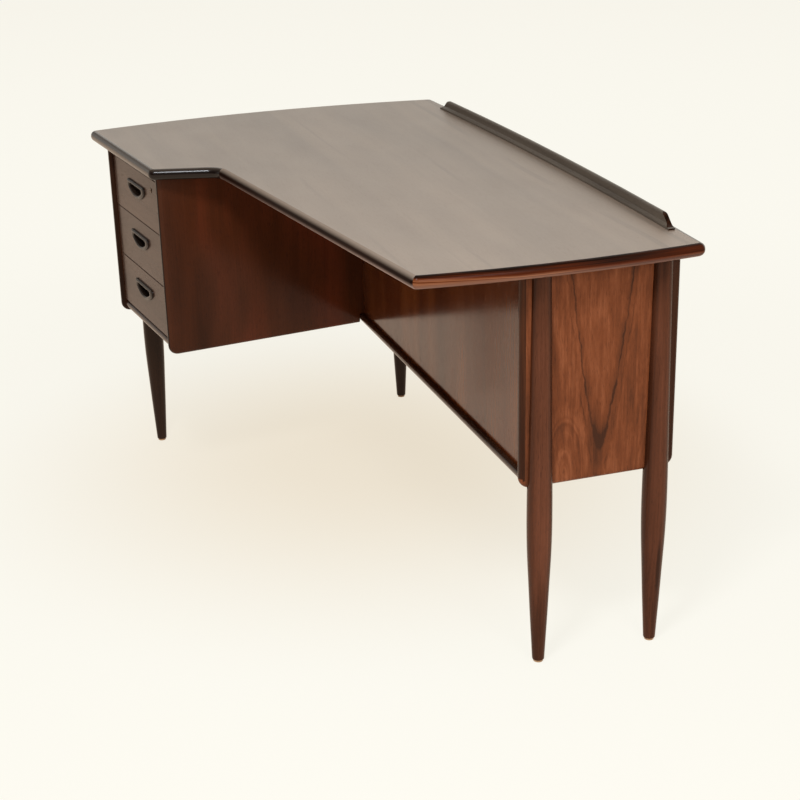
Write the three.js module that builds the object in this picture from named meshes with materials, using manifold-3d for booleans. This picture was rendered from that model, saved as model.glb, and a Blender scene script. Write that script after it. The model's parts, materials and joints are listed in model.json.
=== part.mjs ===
// Writing desk with three drawers, in millimetres, +Z up, standing on z = 0.
// Someone sitting at it looks along +Y. The drawers are at their left, and the open bookcase and the
// cupboard of the rear case face away from them, along +Y. X = 0 and Y = 0 are the middle of its box.

import * as THREE from 'three';
import { mergeVertices } from 'three/addons/utils/BufferGeometryUtils.js';
import Module from 'manifold-3d';

const wasm = await Module();
wasm.setup();

// ---------------------------------------------------------------- driving dimensions

const FIT = 0.3;                 // gap between pieces that are glued or screwed together
const SLIVER = 0.4;              // narrowest flat left between two rounded edges
const degrees = THREE.MathUtils.degToRad;

// desktop
const TOP_LENGTH = 1352;         // over both bowed ends
const TOP_DEPTH = 807;           // up to where the bowed back edge reaches furthest out
const TOP_HEIGHT = 720;
const TOP_THICK = 22;
const TOP_NOSE = 10;             // radius of the rounded edge
const BOW_RADIUS = 1990;         // both ends are arcs of this radius
const LEFT_BOW_Y = 36;           // where the left end reaches furthest out
const RIGHT_BOW_Y = 179;         // where the right end reaches furthest out
const BACK_BOW_RADIUS = 13500;   // the back edge is an arc of this radius
const BACK_BOW_X = 40;           // where the back edge reaches furthest out
const WING_LENGTH = 426;         // front edge over the drawers
const WING_TURN = degrees(7.2);  // how far that edge, and the drawers under it, turn to the sitter
const KNEE_EDGE = 132;           // edge from the wing back to the inner corner
const KNEE_EDGE_TURN = degrees(74.5);
const RIGHT_END_DEPTH = 509;
const CORNER_RADIUS = 14;
const KNEE_RADIUS = 30;          // of the inner corner

// raised lip that follows the back edge
const LIP_LENGTH = 1098;
const LIP_HEIGHT = 23;
const LIP_BASE = 12;
const LIP_CROWN = 8;
const LIP_INSET = 15;            // from the back edge of the top
const LIP_RIGHT_INSET = 103;     // from the right end of the top
const LIP_SCOOP = 42;            // length of the run-out at each end
const LIP_SCOOP_EASE = 0.42;     // share of that length over which it levels out, below and above
const LIP_TIP = 3;               // height left at both ends

// case under the top
const CASE_BOTTOM = 327;         // height of the underside of the case
const PANEL_THICK = 20;
const PANEL_NOSE = 8;
const PANEL_CORNER = 18;
const BOARD_THICK = 16;          // floors, dividers and shelves
const CASE_FLOOR_RISE = 4;       // of the case floor above the panels' lower edges
const PEDESTAL_FLOOR_RISE = 10;  // of the pedestal's floor above the same edges
const BACK_OVERHANG = 44;        // of the bowed top past the end panels, where it is greatest
const RIGHT_OVERHANG = 40;
const RIGHT_PANEL_DEPTH = 279;
const CASE_DEPTH = 271;          // of the rear case
const KNEE_PANEL_THICK = 12;
const KNEE_PANEL_SETBACK = 10;   // behind the front edge of the case floor

// drawer pedestal
const PEDESTAL_WIDTH = 351;      // over its two panels, at the front
const WING_OVERHANG = 20;        // of the top past the front of the pedestal
const KNEE_OVERHANG = 20;        // of the top past the inner side of the pedestal
const LEFT_PANEL_TURN = degrees(5);
const DRAWER_COUNT = 3;
const DRAWER_RECESS = 7;         // of the drawer fronts behind the panels' front edges
const FLOOR_RECESS = 6;
const TOP_RAIL_DEPTH = 60;       // of the rail between the drawers and the desktop
const DRAWER_GAP = 2;            // around each drawer front
const BOTTOM_GAP = 3.5;          // under the lowest front
const FRONT_THICK = 20;
const DRAWER_BACK_ROOM = 25;     // between the drawers and the knee panel behind them
const DRAWER_SIDE = 12;
const DRAWER_SIDE_RISE = 12;     // of the sides above the bottom of the front
const DRAWER_SIDE_DROP = 6.5;    // of the sides below the top of the front
const DRAWER_SIDE_PLAY = 1;      // between a side and the panel beside it
const DRAWER_BACK = 12;
const DRAWER_BOTTOM = 5;
const DRAWER_BOTTOM_RISE = 6;    // of the bottom board above the lower edge of the sides
const RUNNER_HEIGHT = 10;
const RUNNER_RISE = 40;          // of the runner above the lower edge of the sides
const RUNNER_PLAY = 0.4;         // above and below the runner, in its groove
const RUNNER_SET_BACK = 3;       // of the runner's front end behind the drawer front
const GROOVE_DEPTH = 6;
const GROOVE_CLEARANCE = 0.6;    // between the runner and the bottom of the groove

// inset pulls
const PULL_WIDTH = 116;
const PULL_HEIGHT = 33;
const PULL_CORNER = 8;
const PULL_PROUD = 5;
const PULL_ROUNDING = 1.5;       // of the rim's edges
const PULL_RISE = 8;             // of its middle above the middle of the front
const PULL_SHIFT = 5;            // of its middle towards the knee space
const CUP_WIDTH = 80;
const CUP_HEIGHT = 18.5;
const CUP_CORNER = 4;
const CUP_DEPTH = 15;            // inside the front
const CUP_WALL = 3;
const CUP_FLOOR = 3;
const LOCK_RADIUS = 5;
const LOCK_PROUD = 1;
const LOCK_DEPTH = 12;
const LOCK_FROM_SIDE = 48;       // of the keyhole from the side of the drawer front
const LOCK_FROM_TOP = 23;

// legs
const LEG_TOP_RADIUS = 16;
const LEG_KNEE_RADIUS = 21.5;
const LEG_KNEE_HEIGHT = 262;     // where the leg is thickest
const LEG_FOOT_RADIUS = 10.5;
const LEG_EDGE = 2;              // rounding of the foot
const GLIDE_HEIGHT = 4;
const GLIDE_RADIUS = 8.5;
const RIGHT_LEG_INSET = 34;      // of the right legs from the front and back of their panel
const LEFT_LEG_INSET = 68;

// rear case
const CUPBOARD_WIDTH = 392;      // clear width, along its front
const SHELF_WIDTH = 404;         // clear width of the middle bay
const SHELF_RISE = 169;          // of the shelves' top faces above the case floor
const SHELF_SETBACK = 12;
const DIVIDER_SETBACK = 2;
const DOOR_THICK = 18;
const DOOR_GAP = 2;
const DOOR_INSET = 2;            // of the door behind the case's back edge
const DOOR_PULL_INSET = 78;      // of the pull's middle from the door's free edge
const DOOR_PULL_DROP = 60;       // of the pull's middle below the door's upper edge
const DOOR_LOCK_DROP = 45;       // of the keyhole below the pull's middle
const HINGE_RADIUS = 3.6;
const HINGE_LENGTH = 46;
const HINGE_FROM_END = 60;

// ---------------------------------------------------------------- places worked out from them

const UNDERSIDE = TOP_HEIGHT - TOP_THICK;
const BACK_Y = TOP_DEPTH / 2;
const FRONT_Y = -TOP_DEPTH / 2;
const RIGHT_X = TOP_LENGTH / 2;
const LEFT_X = -TOP_LENGTH / 2;
const CASE_BACK = BACK_Y - BACK_OVERHANG;
const CASE_FRONT = CASE_BACK - CASE_DEPTH;
const KNEE_PANEL_FRONT = CASE_FRONT + KNEE_PANEL_SETBACK;
const KNEE_PANEL_BACK = KNEE_PANEL_FRONT + KNEE_PANEL_THICK;
const CASE_FLOOR_TOP = CASE_BOTTOM + CASE_FLOOR_RISE + BOARD_THICK;
const PEDESTAL_FLOOR_TOP = CASE_BOTTOM + PEDESTAL_FLOOR_RISE + BOARD_THICK;
const RIGHT_PANEL_X = RIGHT_X - RIGHT_OVERHANG;
const BAY_RIGHT = RIGHT_PANEL_X - PANEL_THICK;

const arcInset = (radius, away) => radius - Math.sqrt(radius ** 2 - away ** 2);
const bowInset = (y, bowY) => arcInset(BOW_RADIUS, y - bowY);
const backInset = (x) => arcInset(BACK_BOW_RADIUS, x - BACK_BOW_X);
const polar = (angle, length) => new THREE.Vector2(Math.cos(angle), Math.sin(angle)).multiplyScalar(length);

const wingCorner = new THREE.Vector2(LEFT_X + bowInset(FRONT_Y, LEFT_BOW_Y), FRONT_Y);
const wingEnd = wingCorner.clone().add(polar(WING_TURN, WING_LENGTH));
const kneeCorner = wingEnd.clone().add(polar(KNEE_EDGE_TURN, KNEE_EDGE));

// The pedestal's own frame: x along its front towards the knee space, y towards the back,
// with its origin at the outer front corner of its inner panel.
const pedestalOrigin = wingEnd.clone()
  .add(polar(WING_TURN, -KNEE_OVERHANG))
  .add(polar(WING_TURN + Math.PI / 2, WING_OVERHANG));
const leftPanelOrigin = pedestalOrigin.clone().add(polar(WING_TURN, -PEDESTAL_WIDTH));
const leftPanelLength = (CASE_BACK - leftPanelOrigin.y) / Math.cos(LEFT_PANEL_TURN);

// ---------------------------------------------------------------- materials

const material = (color, roughness, metalness = 0) =>
  new THREE.MeshStandardMaterial({ color, roughness, metalness });
const topWood = material(0x4a2a1c, 0.3);
const panelWood = material(0x5a2c18, 0.35);
const legWood = material(0x3e2216, 0.35);
const frontWood = material(0x4c2f22, 0.35);
const linerWood = material(0xb08a5c, 0.6);
const rimWood = material(0x241712, 0.3);
const glidePlastic = material(0xc79a6a, 0.6);
const brass = material(0xb08d4a, 0.35, 1);

// ---------------------------------------------------------------- building blocks

function toSolid(geometry) {
  const bare = geometry.clone();
  bare.deleteAttribute('normal');
  bare.deleteAttribute('uv');
  const merged = mergeVertices(bare, 1e-4);
  return new wasm.Manifold(new wasm.Mesh({
    numProp: 3,
    vertProperties: new Float32Array(merged.attributes.position.array),
    triVerts: new Uint32Array(merged.index.array),
  }));
}

function toGeometry(solid) {
  const mesh = solid.getMesh();
  const geometry = new THREE.BufferGeometry();
  geometry.setAttribute('position', new THREE.BufferAttribute(mesh.vertProperties, 3));
  geometry.setIndex(new THREE.BufferAttribute(mesh.triVerts, 1));
  geometry.computeVertexNormals();
  return geometry;
}

function carve(geometry, ...cutters) {
  return toGeometry(cutters.reduce((solid, cutter) => solid.subtract(toSolid(cutter)), toSolid(geometry)));
}

function join(...geometries) {
  return toGeometry(geometries.map(toSolid).reduce((solid, other) => solid.add(other)));
}

function box(x0, x1, y0, y1, z0, z1) {
  return new THREE.BoxGeometry(x1 - x0, y1 - y0, z1 - z0)
    .translate((x0 + x1) / 2, (y0 + y1) / 2, (z0 + z1) / 2);
}

const CURVE_STEPS = 8;                        // straight steps in each drawn arc
const everywhere = TOP_LENGTH + TOP_DEPTH;    // reach of a cutter that spans the desk
const aboveUnderside = () =>
  box(-everywhere, everywhere, -everywhere, everywhere, UNDERSIDE, 2 * TOP_HEIGHT);

// A closed outline through corners [x, y, radius], each rounded by an arc.
function roundedShape(corners) {
  const points = [];
  corners.forEach(([x, y, radius = 0], i) => {
    const at = new THREE.Vector2(x, y);
    if (radius === 0) {
      points.push(at);
      return;
    }
    const before = new THREE.Vector2(...corners.at(i - 1).slice(0, 2)).sub(at).normalize();
    const after = new THREE.Vector2(...corners[(i + 1) % corners.length].slice(0, 2)).sub(at).normalize();
    const half = Math.acos(THREE.MathUtils.clamp(before.dot(after), -1, 1)) / 2;
    const reach = radius / Math.tan(half);
    const centre = before.clone().add(after).normalize().multiplyScalar(radius / Math.sin(half)).add(at);
    const start = before.multiplyScalar(reach).add(at).sub(centre);
    const sweep = after.multiplyScalar(reach).add(at).sub(centre);
    const turn = Math.atan2(start.cross(sweep), start.dot(sweep));
    const steps = Math.max(2, Math.ceil(Math.abs(turn) / degrees(18)));
    for (let step = 0; step <= steps; step += 1) {
      points.push(start.clone().rotateAround(new THREE.Vector2(), (turn * step) / steps).add(centre));
    }
  });
  return new THREE.Shape(points);
}

// The largest rounding that both edges of a board can take.
const fullRound = (thickness) => (thickness - SLIVER) / 2;

// Extrudes a shape by the full thickness, with both rims rounded by the nose radius.
function nosed(shape, thickness, nose, segments = 3) {
  const radius = Math.min(nose, fullRound(thickness));
  return new THREE.ExtrudeGeometry(shape, {
    curveSegments: CURVE_STEPS,
    depth: thickness - 2 * radius,
    bevelEnabled: true,
    bevelThickness: radius,
    bevelSize: radius,
    bevelOffset: -radius,
    bevelSegments: segments,
  }).translate(0, 0, radius);
}

const plain = (shape, depth, steps = 1) =>
  new THREE.ExtrudeGeometry(shape, { depth, steps, curveSegments: CURVE_STEPS, bevelEnabled: false });

// Turns an extrusion so that its outline lies in the Y-Z plane and its depth runs along +X.
const sideways = (geometry) => geometry.applyMatrix4(new THREE.Matrix4().makeBasis(
  new THREE.Vector3(0, 1, 0), new THREE.Vector3(0, 0, 1), new THREE.Vector3(1, 0, 0)));

// Turns an extrusion so that its outline lies in the X-Z plane and its depth runs along -Y.
const facing = (geometry) => geometry.applyMatrix4(new THREE.Matrix4().makeBasis(
  new THREE.Vector3(1, 0, 0), new THREE.Vector3(0, 0, 1), new THREE.Vector3(0, -1, 0)));

function addPiece(group, name, geometry, surface) {
  const mesh = new THREE.Mesh(geometry, surface);
  mesh.name = name;
  group.add(mesh);
  return mesh;
}

// ---------------------------------------------------------------- frames of the turned parts

const desk = new THREE.Group();

const pedestal = new THREE.Group();
pedestal.position.set(pedestalOrigin.x, pedestalOrigin.y, 0);
pedestal.rotation.z = WING_TURN;
desk.add(pedestal);

const leftSide = new THREE.Group();
leftSide.position.set(leftPanelOrigin.x, leftPanelOrigin.y, 0);
leftSide.rotation.z = LEFT_PANEL_TURN;
desk.add(leftSide);
desk.updateMatrixWorld(true);

const moved = (geometry, from, to) => geometry
  .applyMatrix4(from.matrixWorld)
  .applyMatrix4(to.matrixWorld.clone().invert());

// Cutters in the frame of a group: all that is left of the left end panel's inner face, and all that is
// behind a line across the desk, between two heights.
const leftPanelCutter = (group) => moved(
  box(-everywhere, PANEL_THICK + FIT, -everywhere, everywhere, -everywhere, everywhere), leftSide, group);
const behindCutter = (group, front, low, high) => moved(
  box(-everywhere, everywhere, front - FIT, everywhere, low, high), desk, group);

// ---------------------------------------------------------------- desktop and lip

// The points between the two ends of an arc, in equal steps.
const between = (from, to, steps, pointAt) =>
  Array.from({ length: steps - 1 }, (_, i) => pointAt(THREE.MathUtils.lerp(from, to, (i + 1) / steps)));

const END_STEPS = 12;
const BACK_STEPS = 16;
const endPoint = (side, bowY) => (y) => [side * (RIGHT_X - bowInset(y, bowY)), y];
const backPoint = (x) => [x, BACK_Y - backInset(x)];

function backCorner(side, bowY) {
  const roughly = side * (RIGHT_X - bowInset(BACK_Y, bowY));
  const [x] = endPoint(side, bowY)(backPoint(roughly)[1]);
  return backPoint(x);
}

function desktopShape() {
  const frontRight = endPoint(1, RIGHT_BOW_Y)(BACK_Y - RIGHT_END_DEPTH);
  const backRight = backCorner(1, RIGHT_BOW_Y);
  const backLeft = backCorner(-1, LEFT_BOW_Y);
  return roundedShape([
    [wingCorner.x, wingCorner.y, CORNER_RADIUS],
    [wingEnd.x, wingEnd.y, CORNER_RADIUS],
    [kneeCorner.x, kneeCorner.y, KNEE_RADIUS],
    [...frontRight, CORNER_RADIUS],
    ...between(frontRight[1], backRight[1], END_STEPS, endPoint(1, RIGHT_BOW_Y)),
    [...backRight, CORNER_RADIUS],
    ...between(backRight[0], backLeft[0], BACK_STEPS, backPoint),
    [...backLeft, CORNER_RADIUS],
    ...between(backLeft[1], FRONT_Y, END_STEPS, endPoint(-1, LEFT_BOW_Y)),
  ]);
}

function makeDesktop() {
  const board = nosed(desktopShape(), TOP_THICK, TOP_NOSE, 4).translate(0, 0, UNDERSIDE);
  addPiece(desk, 'desktop', board, topWood);
}

// Bends a straight bar so that it runs along the bowed back edge.
function bentLikeBackEdge(geometry) {
  const points = geometry.attributes.position;
  for (let i = 0; i < points.count; i += 1) {
    points.setY(i, points.getY(i) - backInset(points.getX(i)));
  }
  return geometry;
}

// The lip's section stands on the top: a thicker rounded toe, then an upright face up to a round crown.
function makeLip() {
  const back = BACK_Y - LIP_INSET;
  const toe = LIP_BASE - LIP_CROWN;
  const section = roundedShape([
    [back, 0],
    [back, LIP_HEIGHT, fullRound(LIP_CROWN)],
    [back - LIP_CROWN, LIP_HEIGHT, fullRound(LIP_CROWN)],
    [back - LIP_CROWN, 2 * toe, toe / 2],
    [back - LIP_BASE, toe, toe / 2],
    [back - LIP_BASE, 0],
  ]);
  const right = RIGHT_X - LIP_RIGHT_INSET;
  const bar = bentLikeBackEdge(
    sideways(plain(section, LIP_LENGTH, BACK_STEPS)).translate(right - LIP_LENGTH, 0, TOP_HEIGHT));
  const runOut = () => {
    const ease = LIP_SCOOP * LIP_SCOOP_EASE;
    const rise = new THREE.CubicBezierCurve(
      new THREE.Vector2(0, LIP_TIP), new THREE.Vector2(ease, LIP_TIP),
      new THREE.Vector2(LIP_SCOOP - ease, LIP_HEIGHT), new THREE.Vector2(LIP_SCOOP, LIP_HEIGHT));
    const outline = [...rise.getPoints(10), new THREE.Vector2(LIP_SCOOP, 2 * LIP_HEIGHT),
      new THREE.Vector2(-LIP_HEIGHT, 2 * LIP_HEIGHT), new THREE.Vector2(-LIP_HEIGHT, LIP_TIP)];
    return facing(plain(new THREE.Shape(outline), TOP_DEPTH));
  };
  const leftCut = runOut().translate(right - LIP_LENGTH, BACK_Y, TOP_HEIGHT);
  const rightCut = runOut().rotateZ(Math.PI).translate(right, FRONT_Y, TOP_HEIGHT);
  addPiece(desk, 'back_lip', carve(bar, leftCut, rightCut), topWood);
}

// ---------------------------------------------------------------- end panels, legs and glides

// An upright panel from y = 0 back, in a frame whose x = 0 is its outer face, with rounded rims.
function panelGeometry(length) {
  const outline = roundedShape([
    [0, CASE_BOTTOM, PANEL_CORNER],
    [length, CASE_BOTTOM, PANEL_CORNER],
    [length, UNDERSIDE + 2 * PANEL_NOSE],
    [0, UNDERSIDE + 2 * PANEL_NOSE],
  ]);
  return carve(sideways(nosed(outline, PANEL_THICK, PANEL_NOSE)), aboveUnderside());
}

function legProfile() {
  const swell = new THREE.SplineCurve([
    new THREE.Vector2(LEG_FOOT_RADIUS, GLIDE_HEIGHT + LEG_EDGE),
    new THREE.Vector2((LEG_FOOT_RADIUS + LEG_KNEE_RADIUS) / 2 + 1, (GLIDE_HEIGHT + LEG_KNEE_HEIGHT) / 2),
    new THREE.Vector2(LEG_KNEE_RADIUS, LEG_KNEE_HEIGHT),
    new THREE.Vector2((LEG_KNEE_RADIUS + LEG_TOP_RADIUS) / 2, (LEG_KNEE_HEIGHT + UNDERSIDE) / 2),
    new THREE.Vector2(LEG_TOP_RADIUS, UNDERSIDE),
  ]);
  return [
    new THREE.Vector2(0, GLIDE_HEIGHT),
    new THREE.Vector2(LEG_FOOT_RADIUS - LEG_EDGE, GLIDE_HEIGHT),
    ...swell.getPoints(16),
    new THREE.Vector2(0, UNDERSIDE),
  ];
}

// A turned leg on the outer face of a panel at x = 0: above the case's underside only its outer half is
// left, as a pilaster against the panel. The panel lies on the side that inward names (1 or -1).
function makeLeg(group, name, x, y, inward) {
  const turned = new THREE.LatheGeometry(legProfile(), 28).rotateX(Math.PI / 2);
  const face = -inward * FIT;
  const far = inward * 3 * LEG_KNEE_RADIUS;
  const reach = 3 * LEG_KNEE_RADIUS;
  const housing = box(Math.min(face, far), Math.max(face, far), -reach, reach, CASE_BOTTOM, 2 * TOP_HEIGHT);
  addPiece(group, `leg_${name}`, carve(turned, housing).translate(x, y, 0), legWood);
  const glide = new THREE.CylinderGeometry(GLIDE_RADIUS, GLIDE_RADIUS, GLIDE_HEIGHT, 24)
    .rotateX(Math.PI / 2).translate(x, y, GLIDE_HEIGHT / 2);
  addPiece(group, `glide_${name}`, glide, glidePlastic);
}

function makeRightEnd() {
  const front = CASE_BACK - RIGHT_PANEL_DEPTH;
  const panel = panelGeometry(RIGHT_PANEL_DEPTH).translate(BAY_RIGHT, front, 0);
  addPiece(desk, 'right_end_panel', panel, panelWood);
  makeLeg(desk, 'front_right', RIGHT_PANEL_X, front + RIGHT_LEG_INSET, -1);
  makeLeg(desk, 'back_right', RIGHT_PANEL_X, CASE_BACK - RIGHT_LEG_INSET, -1);
}

function makeLeftEnd() {
  addPiece(leftSide, 'left_end_panel', panelGeometry(leftPanelLength), panelWood);
  makeLeg(leftSide, 'front_left', 0, LEFT_LEG_INSET, 1);
  makeLeg(leftSide, 'back_left', 0, leftPanelLength - LEFT_LEG_INSET, 1);
}

// ---------------------------------------------------------------- rear case

// A board with its front edge rounded, extruded along X from far on the left up to its right end.
function boardAcross(front, back, top, right) {
  const nose = fullRound(BOARD_THICK);
  const low = top - BOARD_THICK;
  const section = roundedShape([[front, low, nose], [back, low], [back, top], [front, top, nose]]);
  return sideways(plain(section, TOP_LENGTH)).translate(right - TOP_LENGTH, 0, 0);
}

// Where the left end panel's inner face is at some y.
const leftInnerX = (y) => leftPanelOrigin.x + PANEL_THICK / Math.cos(LEFT_PANEL_TURN)
  - (y - leftPanelOrigin.y) * Math.tan(LEFT_PANEL_TURN);
const dividerLeftX = (index) =>
  leftInnerX(CASE_BACK) + CUPBOARD_WIDTH + index * (SHELF_WIDTH + BOARD_THICK);

function makeRearCase() {
  const cutter = leftPanelCutter(desk);
  const floor = boardAcross(CASE_FRONT, CASE_BACK - DIVIDER_SETBACK, CASE_FLOOR_TOP, BAY_RIGHT - FIT);
  addPiece(desk, 'case_floor', carve(floor, cutter), panelWood);
  const kneeBoard = box(-TOP_LENGTH, BAY_RIGHT - FIT, KNEE_PANEL_FRONT, KNEE_PANEL_BACK,
    CASE_FLOOR_TOP, UNDERSIDE);
  addPiece(desk, 'knee_panel', carve(kneeBoard, cutter), panelWood);
  ['cupboard_divider', 'shelf_divider'].forEach((name, i) => {
    const left = dividerLeftX(i);
    const divider = box(left, left + BOARD_THICK, KNEE_PANEL_BACK, CASE_BACK - DIVIDER_SETBACK,
      CASE_FLOOR_TOP, UNDERSIDE);
    addPiece(desk, name, divider, panelWood);
  });
}

function makeShelves() {
  const bays = [
    ['shelf_middle', dividerLeftX(0) + BOARD_THICK, dividerLeftX(1)],
    ['shelf_right', dividerLeftX(1) + BOARD_THICK, BAY_RIGHT],
  ];
  const top = CASE_FLOOR_TOP + SHELF_RISE;
  bays.forEach(([name, left, right]) => {
    const shelf = box(left + FIT, right - FIT, KNEE_PANEL_BACK + FIT, CASE_BACK - SHELF_SETBACK,
      top - BOARD_THICK, top);
    addPiece(desk, name, shelf, panelWood);
  });
}

// ---------------------------------------------------------------- drawer pedestal

// Widths are in the pedestal's frame. Its left panel leans into the bay towards the back, so the drawer
// boxes are narrower than their fronts.
const panelLean = WING_TURN - LEFT_PANEL_TURN;
const bayLeft = (y) => PANEL_THICK / Math.cos(panelLean) - PEDESTAL_WIDTH + y * Math.tan(panelLean);
const bayRight = -PANEL_THICK;
const boxFront = DRAWER_RECESS + FRONT_THICK;
const boxBack = (KNEE_PANEL_FRONT - DRAWER_BACK_ROOM - pedestalOrigin.y - bayRight * Math.sin(WING_TURN))
  / Math.cos(WING_TURN);
const boxLength = boxBack - boxFront;
const boxLeft = Math.max(bayLeft(boxFront), bayLeft(boxBack)) + DRAWER_SIDE_PLAY;
const boxRight = bayRight - DRAWER_SIDE_PLAY;
const frontLeft = Math.max(bayLeft(DRAWER_RECESS), bayLeft(boxFront)) + DRAWER_GAP;
const frontRight = bayRight - DRAWER_GAP;
const railBottom = UNDERSIDE - BOARD_THICK;
const frontHeight = (railBottom - PEDESTAL_FLOOR_TOP - BOTTOM_GAP - DRAWER_COUNT * DRAWER_GAP) / DRAWER_COUNT;
const sideHeight = frontHeight - DRAWER_SIDE_RISE - DRAWER_SIDE_DROP;
const frontBottom = (index) => railBottom - (index + 1) * (frontHeight + DRAWER_GAP);

function makePedestal() {
  const reach = KNEE_PANEL_BACK - pedestalOrigin.y + PEDESTAL_WIDTH;
  const innerPanel = carve(
    panelGeometry(reach).translate(bayRight, 0, 0),
    behindCutter(pedestal, KNEE_PANEL_FRONT, 0, 2 * TOP_HEIGHT),
    behindCutter(pedestal, CASE_FRONT, 0, CASE_FLOOR_TOP + FIT),
  );
  addPiece(pedestal, 'pedestal_inner_panel', innerPanel, panelWood);
  const board = boardAcross(FLOOR_RECESS, reach, PEDESTAL_FLOOR_TOP, bayRight - FIT);
  const floor = carve(board, leftPanelCutter(pedestal), behindCutter(pedestal, CASE_FRONT, 0, TOP_HEIGHT));
  addPiece(pedestal, 'pedestal_floor', floor, panelWood);
  const railBlank = box(-2 * PEDESTAL_WIDTH, bayRight - FIT, DRAWER_RECESS, DRAWER_RECESS + TOP_RAIL_DEPTH,
    railBottom, UNDERSIDE);
  addPiece(pedestal, 'pedestal_top_rail', carve(railBlank, leftPanelCutter(pedestal)), panelWood);
}

// The strips that carry the drawers. The left ones taper, from the panel's face to the drawer's side.
function makeRunners(index) {
  const bottom = frontBottom(index) + DRAWER_SIDE_RISE + RUNNER_RISE;
  const front = boxFront + RUNNER_SET_BACK;
  const inGroove = GROOVE_DEPTH - GROOVE_CLEARANCE;
  const strip = (left, right) => box(left, right, front, boxBack, bottom, bottom + RUNNER_HEIGHT);
  addPiece(pedestal, `runner_${index + 1}_right`, strip(boxRight - inGroove, bayRight - FIT), linerWood);
  const left = carve(strip(boxLeft - PEDESTAL_WIDTH, boxLeft + inGroove), leftPanelCutter(pedestal));
  addPiece(pedestal, `runner_${index + 1}_left`, left, linerWood);
}

// ---------------------------------------------------------------- pulls and locks

// A half-moon with its flat edge up, rounded corners and its middle at the origin. It is a sharp half-moon
// grown all round by the corners' radius.
function halfMoon(width, height, corner) {
  const halfWidth = width / 2 - corner;
  const halfHeight = height / 2 - corner;
  const radius = (halfWidth ** 2 + 4 * halfHeight ** 2) / (4 * halfHeight);
  const spread = Math.asin(Math.min(1, halfWidth / radius));
  const low = -Math.PI / 2;
  const outline = new THREE.Shape();
  outline.absarc(0, radius - halfHeight, radius + corner, low - spread, low + spread, false);
  outline.absarc(halfWidth, halfHeight, corner, low + spread, Math.PI / 2, false);
  outline.absarc(-halfWidth, halfHeight, corner, Math.PI / 2, Math.PI * 1.5 - spread, false);
  return outline;
}

// The cup's outline, or one that lies some way outside it.
const cupOutline = (outside = 0) =>
  halfMoon(CUP_WIDTH + 2 * outside, CUP_HEIGHT + 2 * outside, CUP_CORNER + outside);

// A cup let into the wood with a rim that stands out. The wood's face is at y = 0, facing -Y.
function pullGeometry() {
  const board = halfMoon(PULL_WIDTH, PULL_HEIGHT, PULL_CORNER);
  const rim = facing(nosed(board, PULL_PROUD - FIT, PULL_ROUNDING, 2)).translate(0, -FIT, 0);
  const cup = facing(plain(cupOutline(CUP_WALL), CUP_DEPTH + PULL_PROUD / 2)).translate(0, CUP_DEPTH, 0);
  const hollow = facing(plain(cupOutline(), CUP_DEPTH + 2 * PULL_PROUD))
    .translate(0, CUP_DEPTH - CUP_FLOOR, 0);
  return carve(join(rim, cup), hollow);
}

// The pockets that the cup and the lock sit in, for the same frame.
const pullPocket = () => facing(plain(cupOutline(CUP_WALL + FIT), CUP_DEPTH + FIT + PULL_PROUD))
  .translate(0, CUP_DEPTH + FIT, 0);
const lockBody = (radius, back) => new THREE.CylinderGeometry(radius, radius, back + LOCK_PROUD, 24)
  .translate(0, (back - LOCK_PROUD) / 2, 0);

// ---------------------------------------------------------------- drawers

// A drawer side's section in X-Z, with the runner's groove in its outer face at x = 0.
function drawerSide() {
  const low = RUNNER_RISE - RUNNER_PLAY;
  const high = RUNNER_RISE + RUNNER_HEIGHT + RUNNER_PLAY;
  const section = roundedShape([
    [0, 0], [DRAWER_SIDE, 0], [DRAWER_SIDE, sideHeight], [0, sideHeight],
    [0, high], [GROOVE_DEPTH, high], [GROOVE_DEPTH, low], [0, low],
  ]);
  return facing(plain(section, boxLength - FIT)).translate(0, boxBack, 0);
}

function makeDrawer(index) {
  const label = `drawer_${index + 1}`;
  const low = frontBottom(index);
  const floor = low + DRAWER_SIDE_RISE;
  const pullX = (frontLeft + frontRight) / 2 + PULL_SHIFT;
  const pullZ = low + frontHeight / 2 + PULL_RISE;
  const lockX = frontRight - LOCK_FROM_SIDE;
  const lockZ = low + frontHeight - LOCK_FROM_TOP;
  const hasLock = index === 0;

  const board = box(frontLeft, frontRight, DRAWER_RECESS, boxFront, low, low + frontHeight);
  const pockets = [pullPocket().translate(pullX, DRAWER_RECESS, pullZ)];
  if (hasLock) {
    pockets.push(lockBody(LOCK_RADIUS + FIT, LOCK_DEPTH + FIT).translate(lockX, DRAWER_RECESS, lockZ));
    const lock = lockBody(LOCK_RADIUS, LOCK_DEPTH).translate(lockX, DRAWER_RECESS, lockZ);
    addPiece(pedestal, `${label}_lock`, lock, brass);
  }
  addPiece(pedestal, `${label}_front`, carve(board, ...pockets), frontWood);
  const pull = pullGeometry().translate(pullX, DRAWER_RECESS, pullZ);
  addPiece(pedestal, `${label}_pull`, pull, rimWood);

  addPiece(pedestal, `${label}_side_left`, drawerSide().translate(boxLeft, 0, floor), linerWood);
  const rightSide = drawerSide().rotateZ(Math.PI).translate(boxRight, boxFront + FIT + boxBack, floor);
  addPiece(pedestal, `${label}_side_right`, rightSide, linerWood);
  const inLeft = boxLeft + DRAWER_SIDE + FIT;
  const inRight = boxRight - DRAWER_SIDE - FIT;
  const bottomZ = floor + DRAWER_BOTTOM_RISE;
  const back = box(inLeft, inRight, boxBack - DRAWER_BACK, boxBack, floor, floor + sideHeight);
  addPiece(pedestal, `${label}_back`, back, linerWood);
  const bottom = box(inLeft, inRight, boxFront + FIT, boxBack - DRAWER_BACK - FIT,
    bottomZ, bottomZ + DRAWER_BOTTOM);
  addPiece(pedestal, `${label}_bottom`, bottom, linerWood);
}

// ---------------------------------------------------------------- cupboard door

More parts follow.
